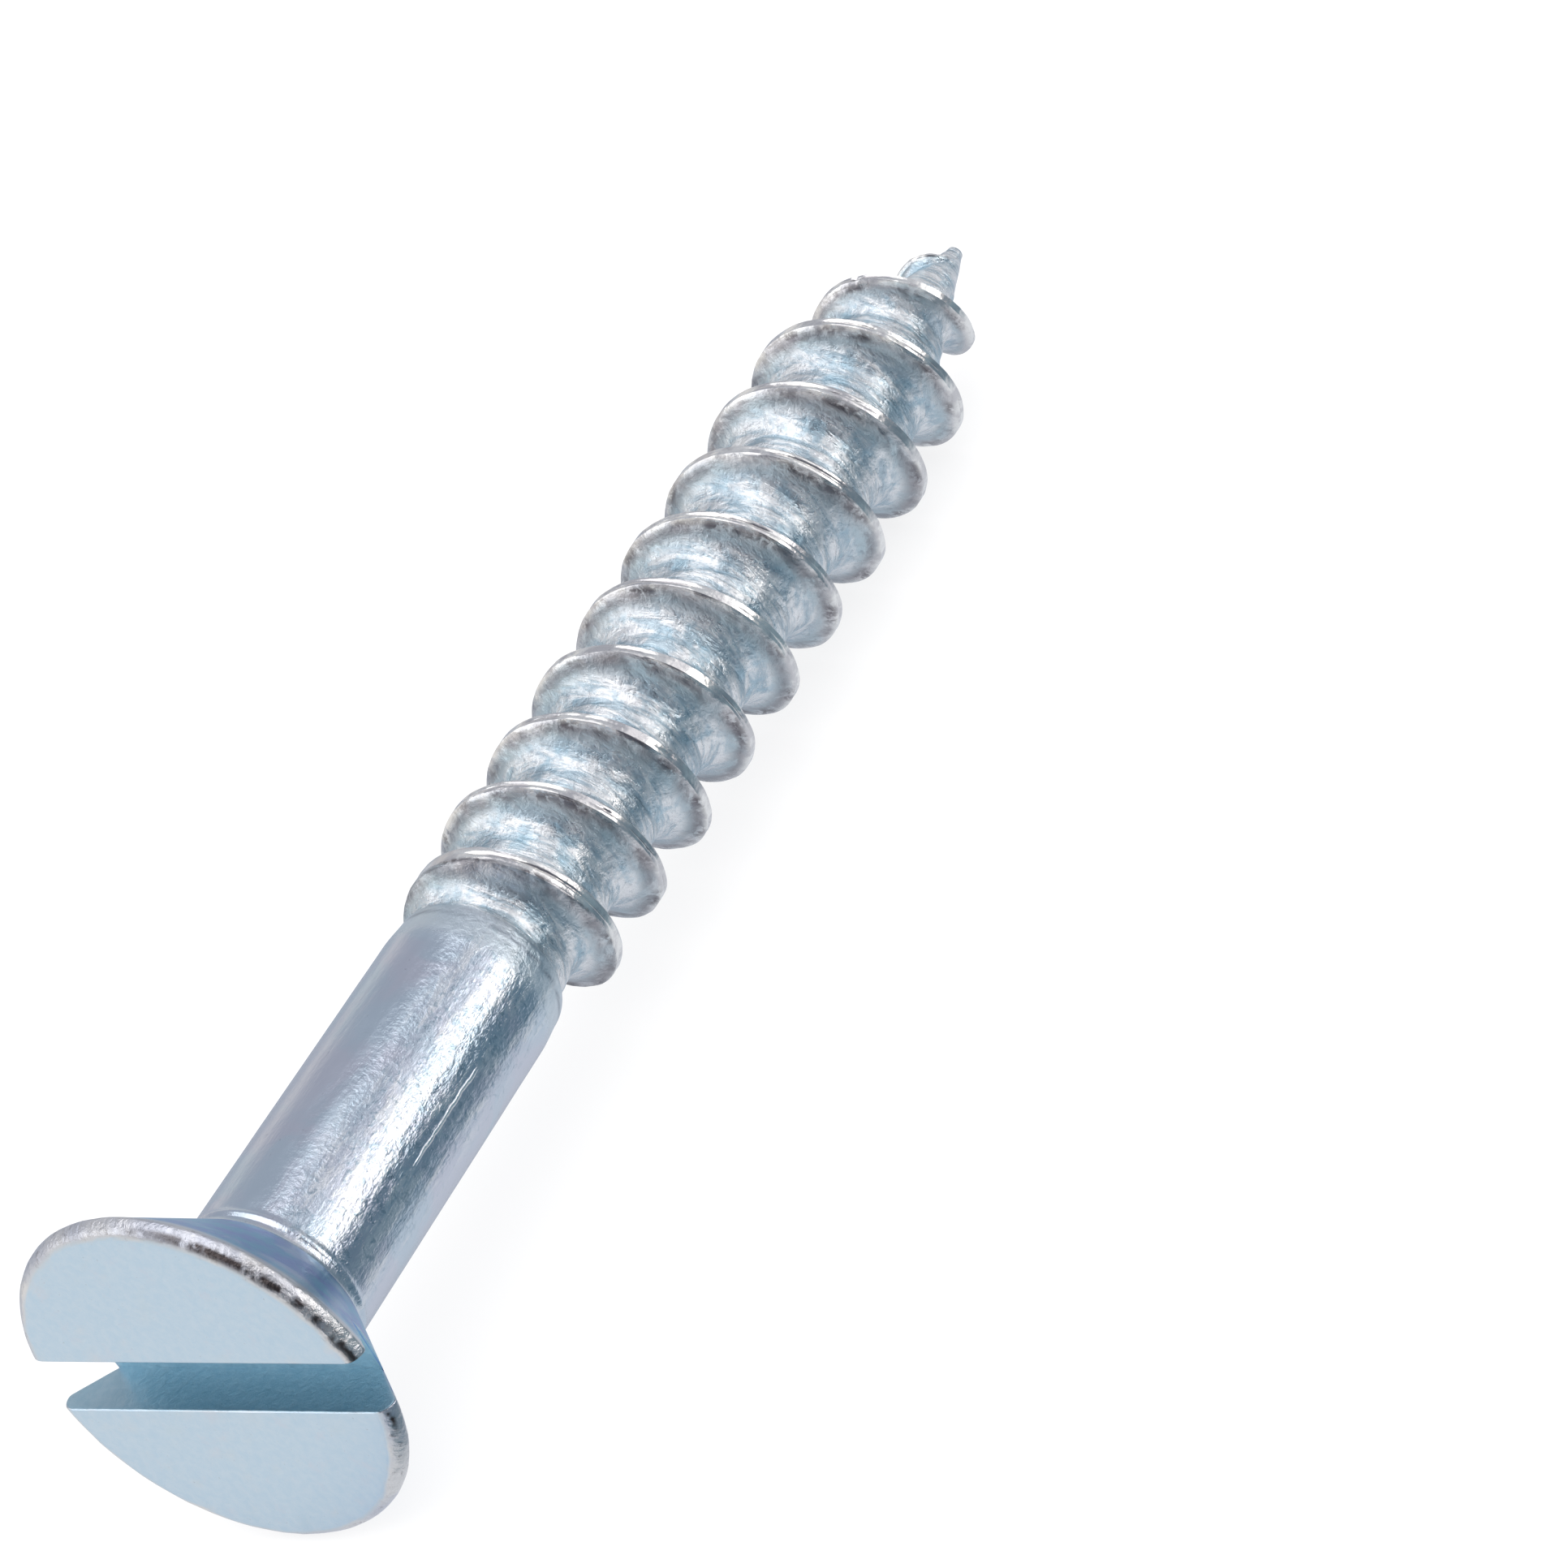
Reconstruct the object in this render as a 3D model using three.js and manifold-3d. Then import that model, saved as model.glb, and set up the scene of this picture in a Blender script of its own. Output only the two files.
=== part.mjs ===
// A slotted countersunk wood screw: one cold-headed, thread-rolled steel wire, zinc plated.
// Millimetres. The screw's axis is +X, from the head's face at x = 0 to the point.
// The driving slot runs along Y, so +Z is square to it. The thread is right-handed.

import * as THREE from "three";
import { mergeVertices } from "three/addons/utils/BufferGeometryUtils.js";
import Module from "manifold-3d";

const wasm = await Module();
wasm.setup();

// ---- driving dimensions -------------------------------------------------------------------

const LENGTH = 30.0; // head face to the end of the point

const HEAD_DIAMETER = 7.5;
const HEAD_ANGLE = 90.0; // degrees, across the countersink
const RIM_HEIGHT = 0.35; // the short cylindrical land between the face and the cone
const FACE_EDGE_RADIUS = 0.2; // the rounding where the face meets the rim
const NECK_RADIUS = 0.45; // the fillet where the cone meets the shank

const SLOT_WIDTH = 1.15;
const SLOT_DEPTH = 1.05;
const SLOT_OVERRUN = 1.0; // how far the slot's cutter stands past the head

const SHANK_HEAD_DIAMETER = 3.55; // at the head
const SHANK_END_DIAMETER = 3.34; // where the thread begins
const SHANK_END = 10.25; // distance from the head's face
const SHOULDER_LENGTH = 0.45; // the rounded step from the shank down to the core

const THREAD_DIAMETER = 4.0;
const CORE_DIAMETER = 2.6;
const PITCH = 1.8;
const FLANK_ANGLE = 60.0; // degrees, between the ridge's two flanks
const CREST_WIDTH = 0.14;
const THREAD_PHASE = 0.6; // from the shank's end to where the helix meets the +Y side
const LEAD_IN_GAP = 0.15; // from the shank's end to where the ridge starts to rise
const LEAD_IN_TURNS = 0.55; // the ridge reaches its full height in this part of a turn

const POINT_LENGTH = 5.2; // the gimlet point, along which core and thread both taper
const CORE_CURVE = 1.6; // the power of the core's outline there: 1 is a straight cone
const THREAD_CURVE = 2.2; // the same for the ridge's crest, which stays full for longer
const TIP_RADIUS = 0.1;

const TURN_STEPS = 36; // facets in one turn of the body and of the thread
const ARC_STEPS = 3;
const POINT_STEPS = 9;
const RIDGE_SINK = 0.24; // how far the ridge's base is sunk in the core before they join
const RIDGE_END = 0.2; // the share of its full size at which the ridge has run out

// ---- outline of the point -----------------------------------------------------------------

const coreRadius = CORE_DIAMETER / 2;
const threadRadius = THREAD_DIAMETER / 2;

// The share of its full size that the core or the thread has at a distance along the screw.
function taper(x, curve) {
  const along = THREE.MathUtils.clamp((x - LENGTH + POINT_LENGTH) / POINT_LENGTH, 0, 1);
  return 1 - along ** curve;
}

function coreAt(x) {
  return coreRadius * taper(x, CORE_CURVE);
}

// ---- solids -------------------------------------------------------------------------------

function toSolid(geometry) {
  geometry.deleteAttribute("normal");
  geometry.deleteAttribute("uv");
  const merged = mergeVertices(geometry, 1e-5);
  const corners = merged.index.array;
  const triangles = [];
  for (let i = 0; i < corners.length; i += 3) {
    const [a, b, c] = [corners[i], corners[i + 1], corners[i + 2]];
    if (a !== b && b !== c && c !== a) triangles.push(a, b, c);
  }
  return new wasm.Manifold(new wasm.Mesh({
    numProp: 3,
    vertProperties: new Float32Array(merged.attributes.position.array),
    triVerts: new Uint32Array(triangles),
  }));
}

function toGeometry(solid) {
  const mesh = solid.getMesh();
  const geometry = new THREE.BufferGeometry();
  geometry.setAttribute("position", new THREE.BufferAttribute(mesh.vertProperties, 3));
  geometry.setIndex(new THREE.BufferAttribute(mesh.triVerts, 1));
  geometry.computeVertexNormals();
  return geometry;
}

// Points on an arc, as (distance along the screw, radius), without its first point.
function arc(centreX, centreR, radius, fromDegrees, toDegrees) {
  const points = [];
  for (let i = 1; i <= ARC_STEPS; i += 1) {
    const angle = THREE.MathUtils.degToRad(fromDegrees + ((toDegrees - fromDegrees) * i) / ARC_STEPS);
    points.push([centreX + radius * Math.cos(angle), centreR + radius * Math.sin(angle)]);
  }
  return points;
}

// The body of revolution: head, shank, shoulder, core and point.
function turnedBody() {
  const headRadius = HEAD_DIAMETER / 2;
  const neckRadius = SHANK_HEAD_DIAMETER / 2;
  const endRadius = SHANK_END_DIAMETER / 2;
  const halfAngle = HEAD_ANGLE / 2;
  const coneLength = (headRadius - neckRadius) / Math.tan(THREE.MathUtils.degToRad(halfAngle));
  const neckReach = NECK_RADIUS * Math.tan(THREE.MathUtils.degToRad(halfAngle / 2));
  const filletX = RIM_HEIGHT + coneLength + neckReach;
  const filletR = neckRadius + NECK_RADIUS;
  const filletStart = THREE.MathUtils.degToRad(270 - halfAngle);

  const outline = [[0, 0], [0, headRadius - FACE_EDGE_RADIUS]];
  outline.push(...arc(FACE_EDGE_RADIUS, headRadius - FACE_EDGE_RADIUS, FACE_EDGE_RADIUS, 180, 90));
  outline.push([RIM_HEIGHT, headRadius]);
  outline.push([
    filletX + NECK_RADIUS * Math.cos(filletStart),
    filletR + NECK_RADIUS * Math.sin(filletStart),
  ]);
  outline.push(...arc(filletX, filletR, NECK_RADIUS, 270 - halfAngle, 270));
  outline.push([SHANK_END, endRadius]);
  for (let i = 1; i <= ARC_STEPS; i += 1) {
    const turn = (Math.PI / 2) * (i / ARC_STEPS);
    const x = SHANK_END + SHOULDER_LENGTH * Math.sin(turn);
    outline.push([x, coreRadius + (endRadius - coreRadius) * Math.cos(turn)]);
  }
  for (let i = 0; i < POINT_STEPS; i += 1) {
    const x = LENGTH - POINT_LENGTH * (1 - i / POINT_STEPS);
    outline.push([x, coreAt(x)]);
  }
  outline.push([LENGTH, TIP_RADIUS]);
  outline.push([LENGTH, 0]);

  const profile = outline.map(([x, r]) => new THREE.Vector2(r, x));
  const lathe = new THREE.LatheGeometry(profile, TURN_STEPS);
  lathe.rotateZ(-Math.PI / 2);
  return toSolid(lathe);
}

// The thread: one ridge swept along a helix, its flanks carried down into the core.
function threadRidge() {
  const slope = Math.tan(THREE.MathUtils.degToRad(FLANK_ANGLE / 2));
  const stepLength = PITCH / TURN_STEPS;
  const leadIn = LEAD_IN_TURNS * PITCH;
  const firstStep = Math.ceil((LEAD_IN_GAP - THREAD_PHASE) / stepLength);
  const sections = [];
  for (let step = firstStep; ; step += 1) {
    const pastShank = THREAD_PHASE + step * stepLength;
    const x = SHANK_END + pastShank;
    const share = taper(x, THREAD_CURVE);
    if (share < RIDGE_END) break;
    const rise = THREE.MathUtils.smoothstep(pastShank, LEAD_IN_GAP, LEAD_IN_GAP + leadIn);
    const height = (threadRadius * share - coreAt(x)) * rise;
    const sink = RIDGE_SINK * share;
    const crestHalf = (CREST_WIDTH / 2) * share;
    const baseHalf = crestHalf + (height + sink) * slope;
    const angle = (2 * Math.PI * step) / TURN_STEPS;
    sections.push([
      [x - baseHalf, coreAt(x - baseHalf) - sink],
      [x - crestHalf, coreAt(x) + height],
      [x + crestHalf, coreAt(x) + height],
      [x + baseHalf, coreAt(x + baseHalf) - sink],
    ].map(([along, r]) => [along, r * Math.cos(angle), r * Math.sin(angle)]));
  }

  const sides = sections[0].length;
  const indices = [];
  for (let ring = 0; ring + 1 < sections.length; ring += 1) {
    for (let side = 0; side < sides; side += 1) {
      const next = (side + 1) % sides;
      const [a, b] = [ring * sides + side, ring * sides + next];
      const [c, d] = [a + sides, b + sides];
      indices.push(a, c, b, b, c, d);
    }
  }
  const last = (sections.length - 1) * sides;
  indices.push(0, 1, 2, 0, 2, 3);
  indices.push(last, last + 2, last + 1, last, last + 3, last + 2);

  const geometry = new THREE.BufferGeometry();
  geometry.setAttribute("position", new THREE.Float32BufferAttribute(sections.flat(2), 3));
  geometry.setIndex(indices);
  return toSolid(geometry);
}

// The straight driving slot, sawn right across the head.
function slotCutter() {
  const reach = HEAD_DIAMETER + 2 * SLOT_OVERRUN;
  const cutter = new THREE.BoxGeometry(SLOT_DEPTH + SLOT_OVERRUN, reach, SLOT_WIDTH);
  cutter.translate((SLOT_DEPTH - SLOT_OVERRUN) / 2, 0, 0);
  return toSolid(cutter);
}

// ---- the screw ----------------------------------------------------------------------------

function woodScrew() {
  const solid = turnedBody().add(threadRidge()).subtract(slotCutter());
  const zinc = new THREE.MeshStandardMaterial({ color: 0xaebdca, roughness: 0.32, metalness: 1.0 });
  const mesh = new THREE.Mesh(toGeometry(solid), zinc);
  mesh.name = "wood_screw";
  return mesh;
}

const part = new THREE.Group();
part.add(woodScrew());

export default part;
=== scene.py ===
"""The looks of the slotted countersunk wood screw: one detailed zinc-plated solid, a pale floor,
soft studio light and the camera. The screw is built in millimetres, then scaled to metres."""

import itertools
import math

import bmesh
import bpy
import numpy as np
from mathutils import Matrix, Vector

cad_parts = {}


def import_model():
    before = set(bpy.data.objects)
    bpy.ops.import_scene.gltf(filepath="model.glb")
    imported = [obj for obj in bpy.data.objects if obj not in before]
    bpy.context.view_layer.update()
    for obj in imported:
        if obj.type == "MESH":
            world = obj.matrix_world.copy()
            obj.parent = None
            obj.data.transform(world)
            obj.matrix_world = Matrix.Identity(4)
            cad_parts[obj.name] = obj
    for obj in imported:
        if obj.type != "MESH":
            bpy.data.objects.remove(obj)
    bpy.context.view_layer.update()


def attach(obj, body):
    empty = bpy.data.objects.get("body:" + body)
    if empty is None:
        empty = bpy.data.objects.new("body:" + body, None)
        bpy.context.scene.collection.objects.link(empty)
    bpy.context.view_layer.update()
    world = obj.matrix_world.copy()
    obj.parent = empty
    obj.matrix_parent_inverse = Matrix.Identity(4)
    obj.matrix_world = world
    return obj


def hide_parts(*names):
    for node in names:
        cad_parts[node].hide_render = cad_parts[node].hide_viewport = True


MM = 0.001

# ---- sizes of the screw, in millimetres, with its axis along +X and its slot along Y ----------

LENGTH = 30.0
HEAD_RADIUS = 3.75
RIM_HEIGHT = 0.35
FACE_EDGE_RADIUS = 0.3
RIM_EDGE_RADIUS = 0.1
CONE_END_X = 2.19  # where the head's cone meets the fillet of the neck
NECK_RADIUS = 0.35
NECK_DROP = 0.022  # how much the shank has narrowed where that fillet ends
NECK_BEAD_X = 2.52  # the mark that the heading die leaves round the neck
NECK_BEAD = 0.032
NECK_BEAD_WIDTH = 0.075

SLOT_HALF_WIDTH = 0.575
SLOT_DEPTH = 1.05
SLOT_EDGE = 0.055  # the rounding of the slot's edges
SLOT_BURR = 0.012  # how far the sawn edge stands out before it is rounded
SLOT_SUPPORT = 0.06  # the width of the strip beside each edge that keeps the rounding tight

SHANK_HEAD_RADIUS = 1.775
SHANK_END_RADIUS = 1.67
SHANK_END = 10.25
SHANK_END_TAPER = 0.05
SHOULDER_LENGTH = 0.45
SHOULDER_POWER = 2.6
SHOULDER_BLEND = 0.09

THREAD_RADIUS = 2.0
CORE_RADIUS = 1.3
PITCH = 1.8
FLANK_SLOPE = 1 / math.tan(math.radians(30))  # the drop of a straight flank per length
FLANK_REACH = 0.8  # how far from the crest's edge a flank still drops
FLANK_STEEPNESS = 1.45  # at the crest's edge, as a multiple of that slope
FLANK_EASING = 0.9  # how fast the multiple falls on the way to the root
CREST_HALF = 0.10
LEAD_IN_CREST = 1.2  # how much wider the crest is where the ridge begins, as a share
THREAD_PHASE = 0.6  # from the shank's end to where the helix meets the +Y side
LEAD_IN_GAP = 0.15
LEAD_IN = 0.55 * PITCH
RUN_OUT = 0.11  # how much higher the root is just past the shoulder
ROOT_BLEND = 0.34

POINT_LENGTH = 5.2
CORE_CURVE = 1.7  # the power of the core's outline there: 1 is a straight cone
THREAD_CURVE = 2.2  # the same for the ridge's crest, which stays full for longer
TIP_RADIUS = 0.145
NIB_START = 28  # from here the last of the point is a plain cone
NIB_SLOPE = 0.3
NIB_BLEND = 0.03

# Depths and widths of the marks that thread rolling leaves.
CREST_WAVE = 0.022
CREST_RIPPLE = 0.012
CREST_BLEND = 0.06
SEAM_DEPTH = 0.045  # the seam where the two flanks' metal met along the crest
SEAM_WIDTH = 0.026
SEAM_OFFSET = 0.014
NICK_DEPTH = 0.05
NICK_WIDTH = 0.09
LIP_DEPTH = 0.04  # the groove under the crest's edge, on the side of the head
LIP_WIDTH = 0.03
LAP_DEPTH = 0.026  # the fine lines that run along the root
LAP_DISTANCE = 0.66
LAP_WIDTH = 0.045

# ---- the grid that the surface is built on ----------------------------------------------------

GAP_CELLS = 6  # columns across each end of the slot
HALF_CELLS = 66  # columns round each half of the head
FACE_SIDE = 16  # of those, the ones that bound each side of the face's own grid
COLUMNS = 2 * (GAP_CELLS + HALF_CELLS)
EDGE_STEPS = 4  # strips across the rounding of the slot's edge
EVEN_COLUMNS_X = 2.3  # from here on the columns are evenly spaced
SLOTTED_RADIUS = 3.0  # columns that follow the slot do so as on a ring no smaller than this
THREAD_START_X = 9.6
THREAD_END_X = 29.93
SNAP = 0.012  # rows this close to either end of the thread's grid move onto it
MERGE_DISTANCE = 2e-4
ROW_OFFSETS = (
    0.022, 0.045, 0.068, 0.09, 0.115, 0.14, 0.17, 0.22, 0.29, 0.36,
    0.43, 0.49, 0.55, 0.61, 0.67, 0.73, 0.79, 0.845,
)  # rows of one turn, by their distance from the crest

PAINTED_SIDE = 160.0  # degrees from +Y to +Z: on this side the shank has more worn relief under painted highlight and painted reflection streaks, and the rim a painted dark reflection along the face's edge
SHARP_ANGLE = 38.0  # degrees: edges sharper than this aren't shaded as smooth


# ---- small tools ------------------------------------------------------------------------------

def smoothstep(x, low, high):
    """0 up to low, 1 from high on, and an even rise between them."""
    t = np.clip((x - low) / (high - low), 0, 1)
    return t * t * (3 - 2 * t)


def smooth_max(a, b, width):
    """The larger of a and b, with the corner between them rounded."""
    return np.maximum(a, b) + np.maximum(width - np.abs(a - b), 0) ** 2 / (4 * width)


def smooth_min(a, b, width):
    """The smaller of a and b, with the corner between them rounded."""
    return -smooth_max(-a, -b, width)


def hill(distance, width):
    """1 at no distance, falling away smoothly over about the width."""
    return np.exp(-((distance / width) ** 2))


def value_noise(points, seed):
    """Smooth noise between -1 and 1 at each row of points, the same on every run.

    Each corner of a cell gets a value from a hash of its place, and points blend the corners.
    """
    cell = np.floor(points).astype(np.int64)
    part = points - cell
    part = part * part * (3 - 2 * part)
    total = np.zeros(len(points))
    for corner in itertools.product((0, 1), repeat=3):
        at = cell + np.array(corner)
        mixed = at[:, 0] * 374761393 + at[:, 1] * 668265263 + at[:, 2] * 1442695041 + seed * 97531
        mixed = mixed & 0xFFFFFFFF
        mixed = ((mixed ^ (mixed >> 13)) * 1274126177) & 0xFFFFFFFF
        mixed = mixed ^ (mixed >> 16)
        weight = np.prod(np.where(np.array(corner) == 1, part, 1 - part), axis=1)
        total += weight * (mixed / 0x7FFFFFFF - 1)
    return total


def layered_noise(points, seed, layers=3):
    """Noise with each layer about twice as fine and half as strong as the one before."""
    total = np.zeros(len(points))
    for layer in range(layers):
        total += value_noise(points * 2.03**layer, seed + layer) * 0.5**layer
    return total / (2 - 0.5 ** (layers - 1))


# ---- outline of the screw ---------------------------------------------------------------------

def along_point(x):
    """How far along the point x is: 0 where the point begins and 1 at its end."""
    return np.clip((x - LENGTH + POINT_LENGTH) / POINT_LENGTH, 0, 1)


def core_at(x):
    """Radius of the core between the turns of the thread."""
    core = CORE_RADIUS * (1 - along_point(x) ** CORE_CURVE)
    nib = np.where(x > NIB_START, TIP_RADIUS + NIB_SLOPE * (THREAD_END_X - x), 0)
    return smooth_max(core, nib, NIB_BLEND)


def body_at(x):
    """Radius of the shank, the shoulder, the core and the point, without the thread."""
    share = np.clip(x / SHANK_END, 0, 1)
    shank = SHANK_HEAD_RADIUS + (SHANK_END_RADIUS - SHANK_HEAD_RADIUS) * share
    shank = shank - SHANK_END_TAPER * smoothstep(x, SHANK_END - 0.62, SHANK_END + 0.1)
    shank = shank + NECK_BEAD * hill(x - NECK_BEAD_X, NECK_BEAD_WIDTH)
    down = np.clip((x - SHANK_END) / SHOULDER_LENGTH, 0, 4)
    shoulder = CORE_RADIUS + (shank - CORE_RADIUS) * (1 - down**SHOULDER_POWER)
    run_out = RUN_OUT * (1 - smoothstep(x, SHANK_END + 0.3, SHANK_END + 2.0))
    return smooth_max(shoulder, core_at(x) + run_out, SHOULDER_BLEND)


def flank_drop(side):
    """How far a flank has dropped at a distance from the crest's edge: steepest at the crest."""
    side = np.clip(side, 0, FLANK_REACH)
    return FLANK_SLOPE * side * (FLANK_STEEPNESS - FLANK_EASING * side)


def crest_distance(x, angle):
    """Distance along the screw from the nearest crest, with its sign."""
    turns = (x - SHANK_END - THREAD_PHASE) / PITCH - angle / (2 * math.pi)
    return (turns - np.round(turns)) * PITCH


def threaded_radius(x, angle):
    """Radius of the finished surface at a distance along the screw and an angle from +Y to +Z."""
    away = crest_distance(x, angle)
    crest_x = x - away
    spot = np.stack([crest_x * 0.9, 1.7 * np.cos(angle), 1.7 * np.sin(angle)], 1)
    wave = CREST_WAVE * layered_noise(spot * 0.9, 11)
    wobble = wave + CREST_RIPPLE * layered_noise(spot * 3.1, 17)

    # The ridge rises behind the shoulder, shrinks along the point and fades out near its end.
    share = 1 - along_point(crest_x) ** THREAD_CURVE
    rise = smoothstep(crest_x - SHANK_END, LEAD_IN_GAP, LEAD_IN_GAP + LEAD_IN)
    fade = smoothstep(share, 0.06, 0.3)
    height = (THREAD_RADIUS * share - core_at(crest_x)) * rise * fade
    begun = smoothstep(crest_x - SHANK_END, 0.6, 2.2)
    crest_half = CREST_HALF * share * (1 + LEAD_IN_CREST * (1 - begun))
    crest = core_at(crest_x) + height + wobble * rise * share

    # The flanks, and the crest between them with its seam and its nicks.
    side = np.abs(away + CREST_RIPPLE * layered_noise(spot * 2.3, 23))
    flank = crest - flank_drop(side - crest_half)
    seam_depth = SEAM_DEPTH * smoothstep(layered_noise(spot * 1.6, 31), -0.25, 0.35)
    nick = NICK_DEPTH * smoothstep(layered_noise(spot * 4.7, 37), 0.42, 0.75)
    seam = hill(away - SEAM_OFFSET, SEAM_WIDTH) * seam_depth
    plateau = crest - (seam + nick * hill(away, NICK_WIDTH)) * rise
    ridge = smooth_min(flank, plateau, CREST_BLEND)

    # The groove under the crest's edge, and the fine lines that run along the root.
    lip = smoothstep(layered_noise(spot * 1.9, 47), -0.3, 0.3) * rise * share
    ridge = ridge - LIP_DEPTH * lip * hill(away + crest_half + 0.04, LIP_WIDTH)
    ridge = np.where(rise > 0, ridge, 0)
    lap = layered_noise(np.stack([away * 3.0, crest_x * 0.5, np.cos(angle)], 1), 43)
    lines = LAP_DEPTH * hill(np.abs(away) - LAP_DISTANCE - 0.05 * lap, LAP_WIDTH) * (0.6 + lap)
    return smooth_max(body_at(x), ridge, ROOT_BLEND * share + 0.02) - lines * rise * share


def after(start, end, count):
    """Evenly spaced values from start to end, without the first."""
    return [float(value) for value in np.linspace(start, end, count + 1)[1:]]


def head_profile():
    """Rings of the head and the shank as (x, radius, inward step into the slot's wall)."""
    rings = []
    for i in range(9):
        turn = math.radians(180 - 90 * i / 8)
        x = FACE_EDGE_RADIUS * (1 + math.cos(turn))
        r = HEAD_RADIUS + FACE_EDGE_RADIUS * (math.sin(turn) - 1)
        rings.append((x, r, (-math.cos(turn), -math.sin(turn))))

    # The rim's far edge and the cone, where the slot's wall steps in along Y only.
    cone_step = (0, -1.15)
    rim_end = RIM_HEIGHT - RIM_EDGE_RADIUS * math.tan(math.radians(22.5))
    for i in range(4):
        turn = math.radians(90 - 45 * i / 3)
        x = rim_end + RIM_EDGE_RADIUS * math.cos(turn)
        r = HEAD_RADIUS + RIM_EDGE_RADIUS * (math.sin(turn) - 1)
        rings.append((x, r, cone_step))
    last_x, last_r = rings[-1][:2]
    for x in after(last_x, SLOT_DEPTH, 7) + after(SLOT_DEPTH, CONE_END_X, 11):
        rings.append((x, last_r - (x - last_x), cone_step))

    # The neck's fillet and the shank, which lie deeper than the slot.
    shank_step = (0, -1)
    last_x = rings[-1][0]
    centre_r = SHANK_HEAD_RADIUS - NECK_DROP + NECK_RADIUS
    for i in range(1, 10):
        turn = math.radians(225 + 45 * i / 9)
        x = last_x + NECK_RADIUS * (math.cos(turn) + math.sqrt(0.5))
        r = centre_r + NECK_RADIUS * math.sin(turn)
        rings.append((x, r, shank_step))
    last_x = rings[-1][0]
    for x in after(last_x, 2.9, 16) + after(2.9, THREAD_START_X, 43):
        rings.append((x, float(body_at(np.array([x]))[0]), shank_step))
    return rings


def deepest_ring(rings):
    """The number of the ring at the depth of the slot's floor."""
    return next(i for i, (x, *_) in enumerate(rings) if abs(x - SLOT_DEPTH) < 1e-6)


def slot_angles(radius):
    """Angles of every column of a ring that the slot cuts, so that columns follow its edges."""
    edge = math.asin((SLOT_HALF_WIDTH + SLOT_EDGE) / radius)
    support = math.asin((SLOT_HALF_WIDTH + SLOT_EDGE + SLOT_SUPPORT) / radius)
    gap = np.linspace(-edge, edge, GAP_CELLS + 1)
    between = np.linspace(support, math.pi - support, HALF_CELLS - 1)
    half = np.concatenate([[edge], between, [math.pi - edge]])
    return np.concatenate([gap[:-1], half[:-1], gap[:-1] + math.pi, half[:-1] + math.pi])


def even_angles():
    return (np.arange(COLUMNS) - GAP_CELLS / 2) * 2 * math.pi / COLUMNS


def ring(x, radius, slotted):
    """One ring of points. slotted is 1 if its columns follow the slot and 0 if they are even."""
    even = even_angles()
    angles = even + (slot_angles(max(radius, SLOTTED_RADIUS)) - even) * slotted
    return np.stack([np.full(COLUMNS, x), radius * np.cos(angles), radius * np.sin(angles)], 1)


# ---- the mesh ---------------------------------------------------------------------------------

class Builder:
    """Collects points and faces, which mesh() cleans and joins."""

    def __init__(self):
        self.points = []
        self.faces = []

    def add_points(self, points):
        """Adds points and returns their numbers."""
        start = len(self.points)
        self.points.extend(map(tuple, points))
        return list(range(start, start + len(points)))

    def band(self, first, second, closed=False):
        """Quads between two rows of point numbers."""
        count = len(first)
        for i in range(count if closed else count - 1):
            j = (i + 1) % count
            self.faces.append((first[i], first[j], second[j], second[i]))

    def mesh(self, name):
        """The finished mesh, without loose points, doubled points and faces that have no area."""
        faces = []
        for face in self.faces:
            kept = [p for i, p in enumerate(face) if p != face[i - 1]]
            if len(set(kept)) >= 3:
                faces.append(kept)
        data = bpy.data.meshes.new(name)
        data.from_pydata(self.points, [], faces)
        work = bmesh.new()
        work.from_mesh(data)
        loose = [vert for vert in work.verts if not vert.link_faces]
        bmesh.ops.delete(work, geom=loose, context="VERTS")
        bmesh.ops.remove_doubles(work, verts=work.verts, dist=MERGE_DISTANCE)
        bmesh.ops.recalc_face_normals(work, faces=work.faces)
        work.to_mesh(data)
        work.free()
        return data


def face_grid(builder, arc):
    """Half of the head's face, between the slot's support line and the arc of the face's edge.

    Its inner points are a blend of its four sides. Returns the row along the slot.
    """
    left = [np.array(builder.points[i]) for i in arc[: FACE_SIDE + 1]]
    top = [np.array(builder.points[i]) for i in arc[FACE_SIDE : len(arc) - FACE_SIDE]]
    right = [np.array(builder.points[i]) for i in arc[::-1][: FACE_SIDE + 1]]
    count = len(top)
    bottom = [left[0] + (right[0] - left[0]) * i / (count - 1) for i in range(count)]
    rows = []
    for k in range(FACE_SIDE + 1):
        v = k / FACE_SIDE
        row = []
        for i in range(count):
            u = i / (count - 1)
            across = bottom[i] * (1 - v) + top[i] * v
            along = left[k] * (1 - u) + right[k] * u
            corners = (
                (left[0] * (1 - u) + right[0] * u) * (1 - v)
                + (left[-1] * (1 - u) + right[-1] * u) * v
            )
            row.append(across + along - corners)
        rows.append(builder.add_points(row))
    for first, second in zip(rows, rows[1:]):
        builder.band(first, second)
    return rows[0]


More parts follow.
